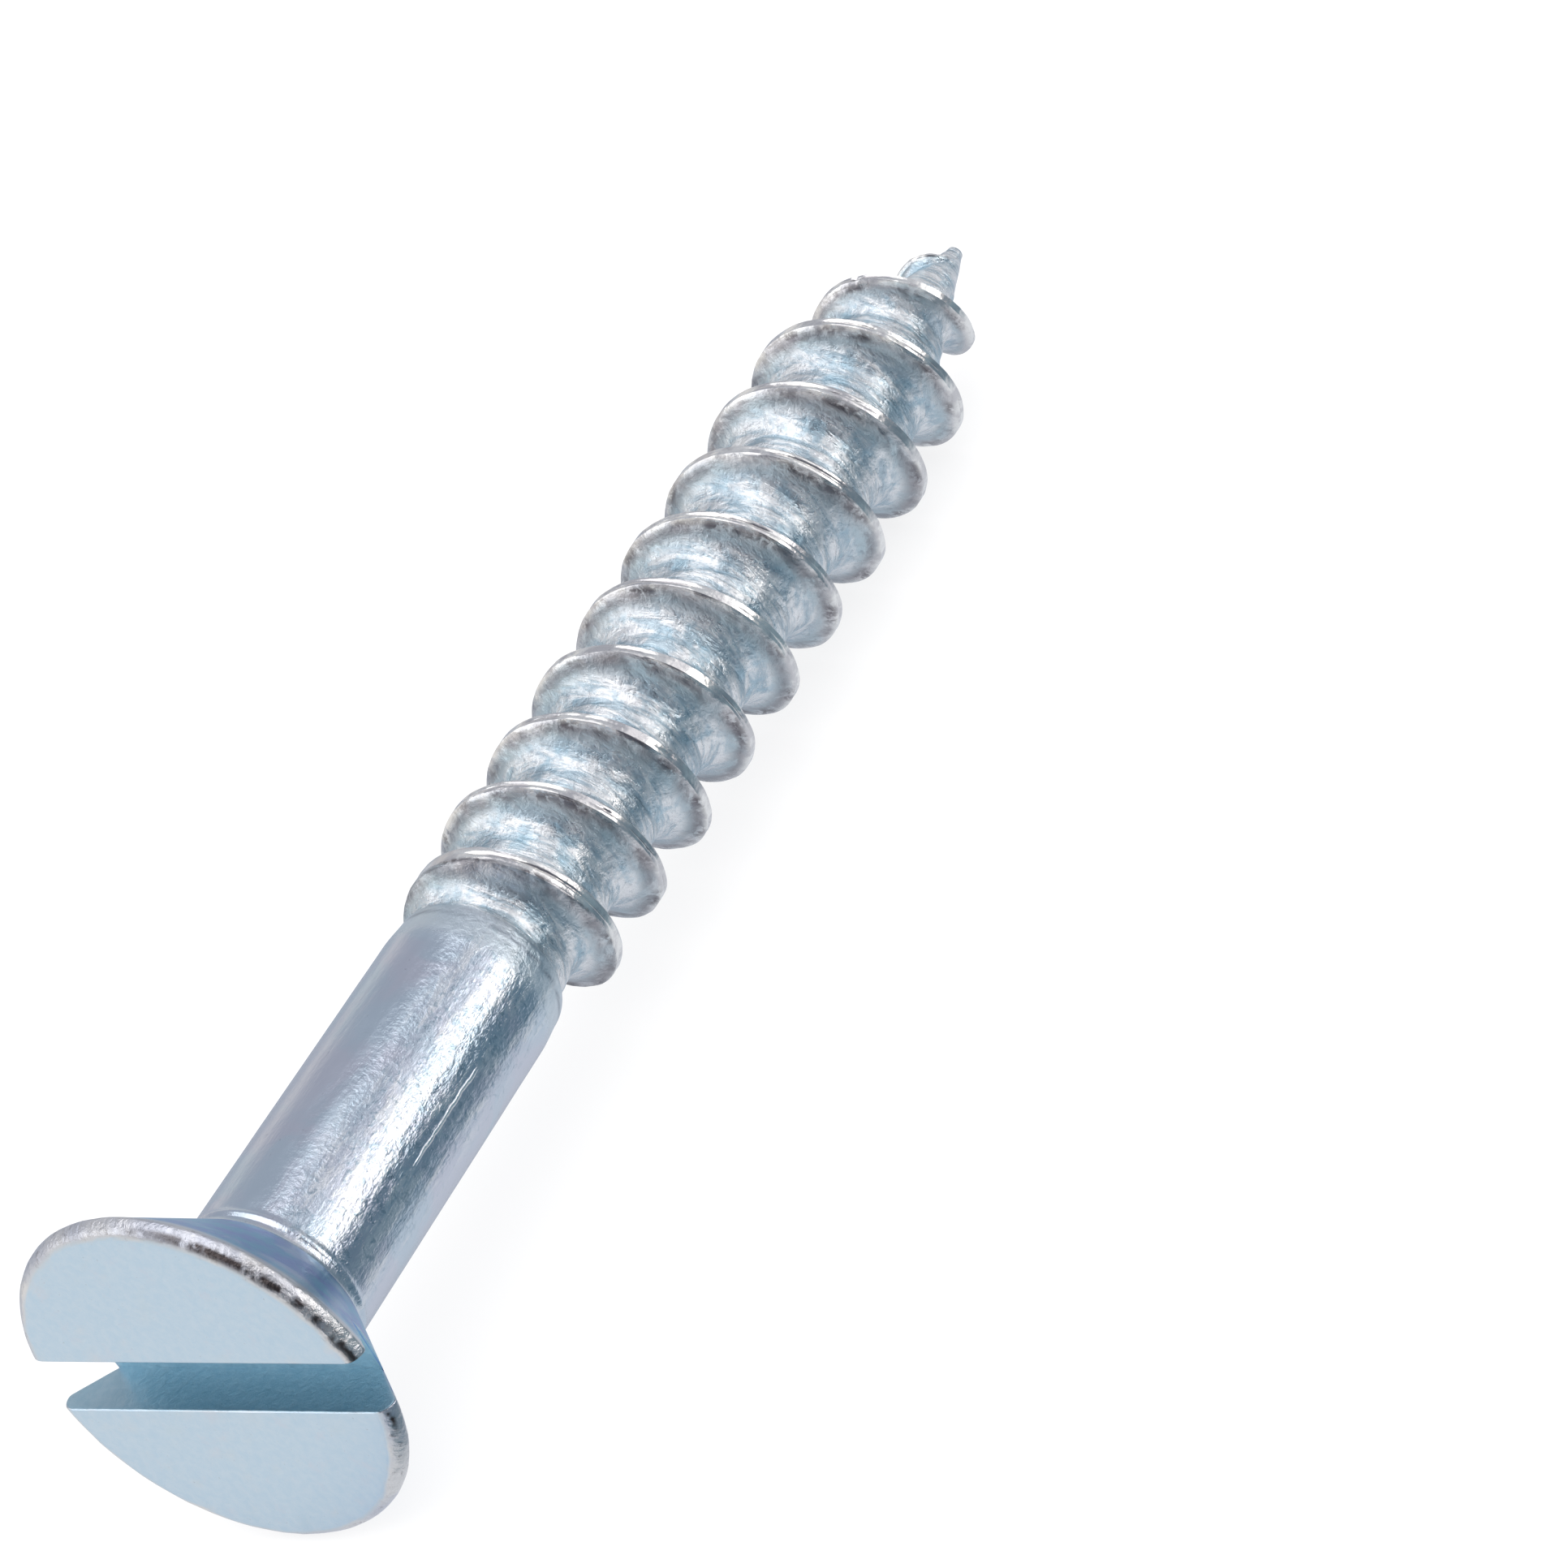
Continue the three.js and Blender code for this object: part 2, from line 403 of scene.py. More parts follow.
def slot_side(builder, rings, numbers, side):
    """One half of the slotted head: its face, the rounded edge of the slot, and the slot's wall.

    side is 1 for the half at +Z and -1 for the other. Returns the points at the wall's two ends,
    from the ring at the depth of the slot's floor to the wall.
    """
    first = GAP_CELLS if side > 0 else 2 * GAP_CELLS + HALF_CELLS
    last = (first + HALF_CELLS) % COLUMNS
    arc = [numbers[0][(first + 1 + i) % COLUMNS] for i in range(HALF_CELLS - 1)]
    support_line = face_grid(builder, arc)
    near, far = numbers[0][first], numbers[0][last]
    start, end = np.array(builder.points[near]), np.array(builder.points[far])
    count = len(support_line)
    inner = [start + (end - start) * i / (count - 1) for i in range(count)]
    edge_line = [near, *builder.add_points(inner[1:-1]), far]
    builder.band(support_line, edge_line)

    # The edge runs up one end of the slot, across the face, and down the other end.
    deepest = deepest_ring(rings)
    path = [(numbers[i][first], rings[i]) for i in range(deepest, 0, -1)]
    path += [(point, (0, None, (1, 0))) for point in edge_line]
    path += [(numbers[i][last], rings[i]) for i in range(1, deepest + 1)]

    face_radius = rings[0][1]
    stretch = math.sqrt(face_radius**2 - SLOT_HALF_WIDTH**2) / abs(start[1])
    rows = [[] for _ in range(EDGE_STEPS + 2)]
    for point, (x, radius, (step_x, step_y)) in path:
        outer = np.array(builder.points[point])
        if radius:
            y = math.copysign(math.sqrt(radius**2 - SLOT_HALF_WIDTH**2), outer[1])
        else:
            y = outer[1] * stretch
        corner = np.array([outer[0], y, side * SLOT_HALF_WIDTH])
        inward = np.array([step_x, step_y * math.copysign(1, y), 0])
        burr = float(layered_noise(np.array([[y * 3.1, x * 2.0, 7.0 * side]]), 41)[0])
        reach = SLOT_EDGE * (1.1 + 0.45 * burr)
        wall = corner + inward * reach
        sharp = corner - inward * SLOT_BURR * (0.5 + burr) if x < SLOT_DEPTH - 0.05 else corner
        for step in range(EDGE_STEPS + 1):
            t = step / EDGE_STEPS
            rows[step].append(outer * (1 - t) ** 2 + sharp * 2 * t * (1 - t) + wall * t * t)
        rows[-1].append(corner + inward * (SLOT_EDGE * 1.6 + SLOT_SUPPORT))
    rows = [[p for p, _ in path]] + [builder.add_points(row) for row in rows[1:]]
    for a, b in zip(rows, rows[1:]):
        builder.band(a, b)
    builder.faces.append(tuple(rows[-1]))
    return [row[0] for row in rows], [row[-1] for row in rows]


def head_and_shank(builder):
    """The head with its slot, and the shank. Returns the ring where the thread's grid begins."""
    rings = head_profile()
    numbers = []
    for x, radius, _ in rings:
        slotted = 1 - float(smoothstep(np.array([x]), SLOT_DEPTH, EVEN_COLUMNS_X)[0])
        numbers.append(builder.add_points(ring(x, radius, slotted)))
    upper = [*range(GAP_CELLS, GAP_CELLS + HALF_CELLS + 1)]
    lower = [i % COLUMNS for i in range(2 * GAP_CELLS + HALF_CELLS, COLUMNS + 1)]
    for (x, *_), first, second in zip(rings, numbers, numbers[1:]):
        if x < SLOT_DEPTH - 1e-6:
            for columns in (upper, lower):
                builder.band([first[c] for c in columns], [second[c] for c in columns])
        else:
            builder.band(first, second, closed=True)

    near_up, far_up = slot_side(builder, rings, numbers, 1)
    # The lower half's columns run from the -Y end back to the +Y end.
    far_down, near_down = slot_side(builder, rings, numbers, -1)

    # The slot's floor is one face, bounded by both walls and the ring at its depth.
    floor_ring = numbers[deepest_ring(rings)]
    near_gap = [floor_ring[i] for i in range(GAP_CELLS, -1, -1)]
    far_gap = [floor_ring[GAP_CELLS + HALF_CELLS + i] for i in range(GAP_CELLS + 1)]
    near_end = near_up[::-1] + near_gap[1:-1] + near_down
    far_end = far_down[::-1] + far_gap[::-1][1:-1] + far_up
    builder.faces.append(tuple(near_end + far_end))
    return numbers[-1]


def thread_and_point(builder, first_ring):
    """The thread's grid: each row follows the helix, so the crest lies along the rows."""
    offsets = sorted([0, *ROW_OFFSETS, *(-o for o in ROW_OFFSETS), -PITCH / 2])
    per_turn = len(offsets)
    turns = range(-2, int((LENGTH - SHANK_END) / PITCH) + 2)
    row_x = np.array([SHANK_END + THREAD_PHASE + n * PITCH + o for n in turns for o in offsets])
    angles = even_angles()
    x = row_x[:, None] + PITCH * angles[None, :] / (2 * math.pi)
    x = np.where(x < THREAD_START_X + SNAP, THREAD_START_X, x)
    x = np.where(x > THREAD_END_X - SNAP, THREAD_END_X, x)
    angle = np.broadcast_to(angles, x.shape)
    radius = threaded_radius(x.ravel(), angle.ravel()).reshape(x.shape)
    start_radius = float(body_at(np.array([THREAD_START_X]))[0])
    radius = np.where(x <= THREAD_START_X, start_radius, radius)
    radius = np.where(x >= THREAD_END_X, TIP_RADIUS, radius)
    grid = np.stack([x, radius * np.cos(angle), radius * np.sin(angle)], 2)

    # Rows that run off either end of the grid use the points of the ring there.
    numbers = np.empty(x.shape, int)
    end_points = grid[-1]
    last_ring = builder.add_points(end_points)
    inside = (x > THREAD_START_X) & (x < THREAD_END_X)
    rows = x.shape[0]
    for i in range(rows):
        fresh = builder.add_points(grid[i])
        for a in range(COLUMNS):
            if inside[i, a]:
                numbers[i, a] = fresh[a]
            else:
                numbers[i, a] = first_ring[a] if x[i, a] <= THREAD_START_X else last_ring[a]
    for i in range(rows - 1):
        for a in range(COLUMNS - 1):
            quad = (numbers[i, a], numbers[i, a + 1], numbers[i + 1, a + 1], numbers[i + 1, a])
            builder.faces.append(tuple(map(int, quad)))

    # After one turn a row meets the row that lies one pitch further along.
    for i in range(rows - 1):
        left, left_next = numbers[i, -1], numbers[i + 1, -1]
        ahead = i + per_turn
        right = numbers[ahead, 0] if ahead < rows else last_ring[0]
        right_next = numbers[ahead + 1, 0] if ahead + 1 < rows else last_ring[0]
        builder.faces.append((int(left), int(right), int(right_next), int(left_next)))

    # The rounded end of the point, as (share of the last ring's radius, distance past it).
    previous = last_ring
    for share, forward in ((0.75, 0.04), (0.4, 0.062)):
        points = [(THREAD_END_X + forward, p[1] * share, p[2] * share) for p in end_points]
        current = builder.add_points(points)
        builder.band(previous, current, closed=True)
        previous = current
    tip = builder.add_points([(LENGTH - 0.002, 0, 0)])[0]
    for i in range(COLUMNS):
        builder.faces.append((previous[i], previous[(i + 1) % COLUMNS], tip))


def zones(points):
    """How far each point belongs to each kind of surface, for the relief and the material."""
    x = points[:, 0]
    r = np.hypot(points[:, 1], points[:, 2])
    angle = np.arctan2(points[:, 2], points[:, 1])
    facing = np.cos(angle - math.radians(PAINTED_SIDE))
    in_slot = (np.abs(points[:, 2]) < SLOT_HALF_WIDTH + 0.004) & (x < SLOT_DEPTH + 0.01)

    # The thread, by the distance from its crest and the height above its core.
    threaded = smoothstep(x, SHANK_END + 0.1, SHANK_END + 0.35)
    away = np.abs(crest_distance(x, angle))
    core = core_at(x)
    height = np.maximum(THREAD_RADIUS * (1 - along_point(x) ** THREAD_CURVE) - core, 0.05)
    up = np.clip((r - core) / height, 0, 1.2)
    crest = threaded * (1 - smoothstep(away, 0.10, 0.16)) * smoothstep(up, 0.6, 0.85)
    root = threaded * (1 - smoothstep(up, 0.25, 0.62))
    lip = -crest_distance(x, angle) - CREST_HALF - 0.045
    ragged = smoothstep(layered_noise(points * np.array([1.0, 2.2, 2.2]), 83), -0.25, 0.35)

    # The head's face and rim, which meet at an uneven edge, and the painted dark reflection along
    # that edge, with a darker spot on the rim of the lower half by the slot's -Y end.
    edge_x = x + 0.02 * layered_noise(points * 3.0, 89)
    rim = (1 - smoothstep(x, 0.3, 0.5)) * smoothstep(edge_x, 0.008, 0.04) * (r > 3.0)
    painted_edge_band = smoothstep(edge_x, 0.02, 0.07) * (1 - smoothstep(edge_x, 0.13, 0.2))
    painted_edge_side = smoothstep(facing, 0.3, 0.75) * smoothstep(points[:, 2], -0.4, 0.4)
    mark = np.hypot((points[:, 1] + 3.5) / 0.3, (points[:, 2] + 0.8) / 0.25)
    painted_edge_side = (r > 3.2) * (painted_edge_side + 1.3 * np.exp(-(mark**2)))

    # The shank, its matt end, and the painted shade line where it meets the thread.
    shank = (1 - threaded) * smoothstep(x, 2.2, 2.45)
    step = (x - SHANK_END + 0.02 + 0.03 * layered_noise(points * 2.0, 97)) / 0.045
    cone = smoothstep(x, 0.42, 0.6) * (1 - smoothstep(x, 2.15, 2.35))
    return {
        "collar": smoothstep(x, SHANK_END - 0.78, SHANK_END - 0.3) * (1 - threaded),
        "crest": crest,
        # lip: where the painted shade line under the crest's edge goes, on the head's side
        "lip": threaded * hill(lip, 0.044) * smoothstep(up, 0.5, 0.7) * ragged,
        "shade": threaded * smoothstep(up, 0.4, 0.75) * smoothstep(lip, -0.05, 0.02),
        # step: a painted shade line at the shoulder's edge
        "step": np.exp(-(step**2)) * (0.35 + 0.65 * ragged),
        "root": root,
        "flank": np.clip(threaded - crest - root, 0, 1),
        "rise": threaded * np.clip(up, 0, 1),
        "shank": shank,
        # where the shank gets painted highlight and painted reflection streaks, and more relief
        "scuff_and_painted_sheen": shank * smoothstep(facing, 0.66, 0.9),
        "cone": np.where(in_slot, 0, cone),
        "rim": np.where(in_slot, 0, rim),
        # painted dark reflection along the face's edge, and the darker spot by the slot
        "painted_dark_edge": np.where(in_slot, 0, painted_edge_band * painted_edge_side),
        "face": np.where(in_slot, 0, 1 - smoothstep(edge_x, 0.004, 0.03)),
        "slot": in_slot.astype(float),
    }


def roughen(data):
    """Adds the small dents and waves that rolling, sawing and tumbling leave. Returns the zones."""
    count = len(data.vertices)
    points = np.empty(count * 3)
    normals = np.empty(count * 3)
    data.vertices.foreach_get("co", points)
    data.vertices.foreach_get("normal", normals)
    points, normals = points.reshape(-1, 3), normals.reshape(-1, 3)
    zone = zones(points)
    stretched = points * np.array([2.6, 1.0, 1.0])
    lengthwise = points * np.array([0.35, 1.6, 1.6])
    shift = zone["root"] * (
        0.020 * layered_noise(stretched * 1.5, 51) + 0.012 * layered_noise(points * 5.0, 53)
    )
    shift += zone["flank"] * 0.010 * layered_noise(points * 1.8, 57)
    shift += zone["shank"] * (
        0.0025 * layered_noise(lengthwise * 1.2, 61) + 0.002 * layered_noise(lengthwise * 4.0, 67)
    )
    shift += zone["rim"] * (
        0.012 * layered_noise(points * 1.9, 71) + 0.008 * layered_noise(points * 5.5, 73)
    )
    shift += zone["face"] * 0.002 * layered_noise(points * 0.9, 79)
    points += normals * shift[:, None]
    data.vertices.foreach_set("co", points.ravel())
    return zone


def mark_sharp_edges(data):
    work = bmesh.new()
    work.from_mesh(data)
    limit = math.radians(SHARP_ANGLE)
    sharp = [len(e.link_faces) == 2 and e.calc_face_angle(0) > limit for e in work.edges]
    work.free()
    data.attributes.new("sharp_edge", "BOOLEAN", "EDGE").data.foreach_set("value", sharp)


def build_screw():
    """The screw as one object, and the names of the zones stored on its points."""
    builder = Builder()
    first_ring = head_and_shank(builder)
    thread_and_point(builder, first_ring)
    data = builder.mesh("zinc_screw")
    zone = roughen(data)
    for name, values in zone.items():
        layer = data.attributes.new(name, "FLOAT", "POINT")
        layer.data.foreach_set("value", values.astype(np.float32))
    data.transform(Matrix.Scale(MM, 4))
    data.shade_smooth()
    data.update()
    mark_sharp_edges(data)
    screw = bpy.data.objects.new("zinc_screw", data)
    bpy.context.scene.collection.objects.link(screw)
    return screw, list(zone)


# ---- materials --------------------------------------------------------------------------------

class Nodes:
    """A short way to write a node tree."""

    def __init__(self, tree):
        self.tree = tree
        tree.nodes.clear()

    def add(self, kind, inputs=None, **settings):
        node = self.tree.nodes.new(kind)
        for key, value in settings.items():
            setattr(node, key, value)
        for key, value in (inputs or {}).items():
            self.feed(node.inputs[key], value)
        return node

    def feed(self, socket, value):
        """Links a socket to the value if that is a socket too, and sets it otherwise."""
        if isinstance(value, bpy.types.NodeSocket):
            self.tree.links.new(value, socket)
        elif socket.type == "RGBA":
            socket.default_value = (*value, 1)
        else:
            socket.default_value = value

    def math(self, operation, a, b=0.0):
        return self.add("ShaderNodeMath", {0: a, 1: b}, operation=operation).outputs[0]

    def times(self, value, *factors):
        for factor in factors:
            value = self.math("MULTIPLY", value, factor)
        return value

    def dot(self, vector, direction):
        inputs = {0: vector, 1: direction}
        return self.add("ShaderNodeVectorMath", inputs, operation="DOT_PRODUCT").outputs["Value"]

    def remap(self, value, low, high, to_low=0.0, to_high=1.0):
        """Takes low to to_low and high to to_high, with an even rise between them."""
        inputs = {
            "Value": value, "From Min": low, "From Max": high, "To Min": to_low, "To Max": to_high,
        }
        node = self.add("ShaderNodeMapRange", inputs, interpolation_type="SMOOTHSTEP")
        return node.outputs[0]

    def mix(self, share, a, b):
        """Blends two colours."""
        return self.add("ShaderNodeMix", {0: share, 6: a, 7: b}, data_type="RGBA").outputs[2]

    def blend(self, share, a, b):
        """Blends two numbers."""
        return self.add("ShaderNodeMix", {0: share, 2: a, 3: b}, data_type="FLOAT").outputs[0]

    def zone(self, name):
        return self.add("ShaderNodeAttribute", attribute_name=name).outputs["Fac"]

    def stretch(self, vector, scale):
        return self.add("ShaderNodeMapping", {"Vector": vector, "Scale": scale}).outputs[0]

    def noise(self, vector, scale, detail=3.0, rough=0.5, distortion=0.0):
        inputs = {
            "Vector": vector, "Scale": scale, "Detail": detail,
            "Roughness": rough, "Distortion": distortion,
        }
        return self.add("ShaderNodeTexNoise", inputs).outputs["Fac"]


# Tints of the plating, and of the painted shade, highlight and reflection marks on it, as linear
# red, green and blue.
TINTS = {
    "thread cool": (0.585, 0.655, 0.69),
    "thread warm": (0.69, 0.67, 0.675),
    "root": (0.47, 0.58, 0.65),
    "root bare": (0.95, 0.95, 0.95),
    "root teal": (0.36, 0.53, 0.63),
    "root spots": (0.20, 0.25, 0.33),
    # painted shade: a darker teal low on the flanks, towards the root
    "flank painted shade": (0.38, 0.54, 0.60),
    "flank spots": (0.20, 0.22, 0.26),
    "crest": (0.66, 0.64, 0.645),
    "crest bright": (0.92, 0.90, 0.87),
    # painted shade: the dark line under the crest's edge
    "lip": (0.085, 0.07, 0.08),
    "shade": (0.20, 0.185, 0.205),
    # painted shade: the dark line at the shoulder's edge
    "step": (0.16, 0.19, 0.24),
    "shank cool": (0.555, 0.635, 0.715),
    "shank warm": (0.605, 0.625, 0.705),
    # painted highlight streaks and painted dark reflection streaks on one side of the shank
    "painted highlight streaks": (0.80, 0.81, 0.83),
    "painted reflection streaks": (0.30, 0.41, 0.49),
    "scratch": (0.92, 0.93, 0.93),
    "collar": (0.68, 0.755, 0.79),
    "cone teal": (0.18, 0.44, 0.62),
    "cone blue": (0.23, 0.33, 0.62),
    "cone pale": (0.58, 0.67, 0.76),
    "face": (0.525, 0.655, 0.77),
    "face pale": (0.60, 0.705, 0.80),
    "face mauve": (0.62, 0.66, 0.75),
    "rim cool": (0.60, 0.61, 0.67),
    "rim warm": (0.76, 0.74, 0.73),
    "rim spots": (0.17, 0.15, 0.16),
    # painted dark reflection along the face's edge, and a darker spot by the slot
    "painted_dark_edge": (0.085, 0.065, 0.06),
    "slot": (0.385, 0.56, 0.655),
    "slot pale": (0.45, 0.61, 0.695),
    "grain": (0.2, 0.21, 0.26),
}

# Relief of the plating, as (pattern, zone, depth in units of RELIEF_DEPTH).
RELIEF = (
    ("wrinkle", "root", 2.1), ("mottle", "root", 0.9), ("grain", "root", 0.3),
    ("streak", "shank", 0.45), ("mottle", "shank", 0.15), ("grain", "shank", 0.08),
    ("streak", "scuff_and_painted_sheen", 0.35), ("mottle", "scuff_and_painted_sheen", 0.3), ("grain", "scuff_and_painted_sheen", 0.12),
    ("mottle", "collar", 0.5), ("mottle", "rim", 1.1), ("grain", "rim", 0.4),
    ("patch", "crest", 1.0), ("mottle", "lip", -0.8), ("mottle", "flank", 0.55),
    ("wrinkle", "flank", 0.6), ("mottle", "cone", 0.5), ("patch", "face", 0.10),
    ("mottle", "slot", 0.45), ("mottle", "shade", 0.7),
)
RELIEF_DEPTH = 3.0e-5  # metres


def scratch_line(n, mm, patch):
    """Where the scratch that runs along the shank is. It wanders a little with the patches."""
    along = n.add("ShaderNodeSeparateXYZ", {0: mm}).outputs[0]
    beside = n.dot(mm, (0, 0.182, 0.983))
    outward = n.dot(mm, (0, -0.983, 0.182))
    off = n.math("ABSOLUTE", n.math("ADD", beside, n.times(patch, 0.12)))
    across = n.times(n.remap(off, 0.045, 0.015), n.remap(outward, 1.1, 1.4))
    return n.times(across, n.times(n.remap(along, 5.0, 5.6), n.remap(along, 7.8, 7.3)))


def zinc_patterns(n):
    """The patterns that the plating's colour, gloss and relief share, from coarse to fine."""
    place = n.add("ShaderNodeTexCoord").outputs["Object"]
    mm = n.stretch(place, (1000, 1000, 1000))
    lengthwise = n.stretch(place, (220, 1000, 1000))
    around = n.stretch(place, (1000, 190, 190))
    patterns = {
        "cloud": n.noise(mm, 0.75, 3, 0.55, 0.6),
        "patch": n.noise(mm, 1.9, 3, 0.6),
        "mottle": n.noise(mm, 5.5, 5, 0.68, 0.4),
        "grain": n.noise(mm, 11, 3, 0.6),
        "fine": n.noise(mm, 26, 2, 0.6),
        "streak": n.noise(lengthwise, 3.6, 5, 0.66),
        "wrinkle": n.noise(around, 5.5, 5, 0.66, 0.5),
    }
    patterns["scratch"] = scratch_line(n, mm, patterns["patch"])
    return patterns


def zinc_colour(n, zone, patterns):
    cloud, patch, mottle = patterns["cloud"], patterns["patch"], patterns["mottle"]
    streak, wrinkle = patterns["streak"], patterns["wrinkle"]
    warm = n.remap(cloud, 0.36, 0.64)
    spots = n.remap(mottle, 0.56, 0.70)

    def two_tints(share, first, second):
        return n.mix(share, TINTS[first], TINTS[second])

    def layered(colour, layers):
        for share, tint in layers:
            colour = n.mix(share, colour, TINTS[tint] if isinstance(tint, str) else tint)
        return colour

    shank = layered(two_tints(warm, "shank cool", "shank warm"), (
        # painted highlight streaks and painted dark reflection streaks on one side of the shank
        (n.times(zone["scuff_and_painted_sheen"], n.remap(streak, 0.47, 0.62), 0.75), "painted highlight streaks"),
        (n.times(zone["scuff_and_painted_sheen"], n.remap(mottle, 0.52, 0.64), 0.6), "painted reflection streaks"),
        (patterns["scratch"], "scratch"),
        (n.times(zone["collar"], 0.65), "collar"),
    ))
    root = two_tints(n.remap(wrinkle, 0.40, 0.58), "root", "root bare")
    crest = two_tints(n.remap(patch, 0.4, 0.6), "crest", "crest bright")
    cone = layered(two_tints(n.remap(patch, 0.32, 0.68), "cone teal", "cone blue"), (
        (n.times(n.remap(cloud, 0.48, 0.66), 0.5), "cone pale"),
    ))
    face = layered(two_tints(n.remap(mottle, 0.3, 0.7), "face", "face pale"), (
        (n.times(n.remap(patch, 0.56, 0.72), 0.4), "face mauve"),
    ))
    rim = two_tints(warm, "rim cool", "rim warm")
    slot = two_tints(n.remap(mottle, 0.35, 0.65), "slot", "slot pale")

    return layered(two_tints(warm, "thread cool", "thread warm"), (
        (zone["shank"], shank),
        # painted shade: darker teal towards the root
        (n.times(zone["flank"], n.remap(zone["rise"], 0.85, 0.35), 0.65), "flank painted shade"),
        (n.times(zone["root"], 0.85), root),
        (n.times(zone["root"], n.remap(patch, 0.5, 0.66), 0.6), "root teal"),
        (zone["crest"], crest),
        # painted shade line under the crest's edge
        (n.times(zone["lip"], n.remap(mottle, 0.40, 0.54), 0.9), "lip"),
        # painted shade line at the shoulder
        (n.times(zone["step"], 0.75), "step"),
        (zone["cone"], cone),
        (zone["face"], face),
        (zone["rim"], rim),
        (zone["slot"], slot),
        (n.times(zone["root"], spots, 0.35), "root spots"),
        (n.times(zone["shade"], n.remap(wrinkle, 0.40, 0.56), 0.62), "shade"),
        (n.times(zone["flank"], spots, 0.4), "flank spots"),
        (n.times(zone["rim"], spots, 0.5), "rim spots"),
        # painted dark reflection along the face's edge, and a darker spot by the slot
        (n.times(zone["painted_dark_edge"], n.remap(patch, 0.40, 0.52), 0.95), "painted_dark_edge"),
        (n.times(n.remap(patterns["grain"], 0.66, 0.78), 0.4), "grain"),
    ))


def zinc_roughness(n, zone, patterns):
    streak, mottle = patterns["streak"], patterns["mottle"]
    rough = n.blend(zone["shank"], 0.29, n.remap(streak, 0.3, 0.7, 0.13, 0.25))
    for name, value in (
        ("face", n.remap(mottle, 0.3, 0.7, 0.34, 0.43)),
        ("slot", 0.36),
        ("collar", 0.33),
        ("root", n.remap(mottle, 0.35, 0.65, 0.24, 0.40)),
        ("crest", 0.24),
    ):
        rough = n.blend(zone[name], rough, value)
    return rough


def zinc_relief(n, zone, patterns):
    height = n.math("ADD", n.times(patterns["fine"], 0.04), n.times(patterns["scratch"], 0.5))
    for pattern, name, depth in RELIEF:
        height = n.math("ADD", height, n.times(patterns[pattern], zone[name], depth))
    inputs = {"Strength": 1.0, "Distance": RELIEF_DEPTH, "Height": height}
    return n.add("ShaderNodeBump", inputs).outputs[0]


def zinc_material(zone_names):
    """Bright zinc with blue passivation: glossy shank, satin face, mottled thread."""
    material = bpy.data.materials.new("zinc_plate")
    material.use_nodes = True
    n = Nodes(material.node_tree)
    patterns = zinc_patterns(n)
    zone = {name: n.zone(name) for name in zone_names}
    shader = n.add("ShaderNodeBsdfPrincipled", {
        "Base Color": zinc_colour(n, zone, patterns),
        "Metallic": 1.0,
        "Roughness": zinc_roughness(n, zone, patterns),
        "Normal": zinc_relief(n, zone, patterns),
    })
    n.add("ShaderNodeOutputMaterial", {"Surface": shader.outputs[0]})
    return material


# ---- floor, light and camera ------------------------------------------------------------------

FLOOR_HALF = 2  # metres
FLOOR_AT = (0.0003, 0, -0.00377)  # metres: the point of the floor under the rim
REST_SPAN = 24.2  # from there to the last full turn of the thread, which also touches the floor

LIGHT_TARGET = (0.014, 0, 0)  # metres: the middle of the screw
SOFTBOXES = (  # name, direction, distance, size, how bright it looks, colour
    ("key", (0.30, -0.91, 0.28), 0.41, (0.42, 0.10), 3.1, (1.0, 0.985, 0.965)),
    ("card", (0.47, -0.66, 0.56), 0.42, (0.40, 0.07), 0.95, (1.0, 0.97, 0.94)),
    ("top", (-0.08, -0.04, 0.95), 0.45, (0.46, 0.60), 1.25, (1.0, 0.99, 0.98)),
    ("rear_card", (-0.62, 0.62, 0.50), 0.45, (0.26, 0.26), 1.25, (0.97, 0.99, 1.0)),
)
DARK_WAY = (-0.62, -0.66, 0.42)  # the direction in which the studio is dark

CAMERA_LENS = 262.38
CAMERA_SENSOR = 36.0
CAMERA_AT = (-104.510, -128.161, 106.031)
CAMERA_RIGHT = (0.43790, -0.78977, -0.42955)
CAMERA_UP = (0.67717, -0.02453, 0.73542)
CAMERA_BACK = (-0.59135, -0.61292, 0.52406)


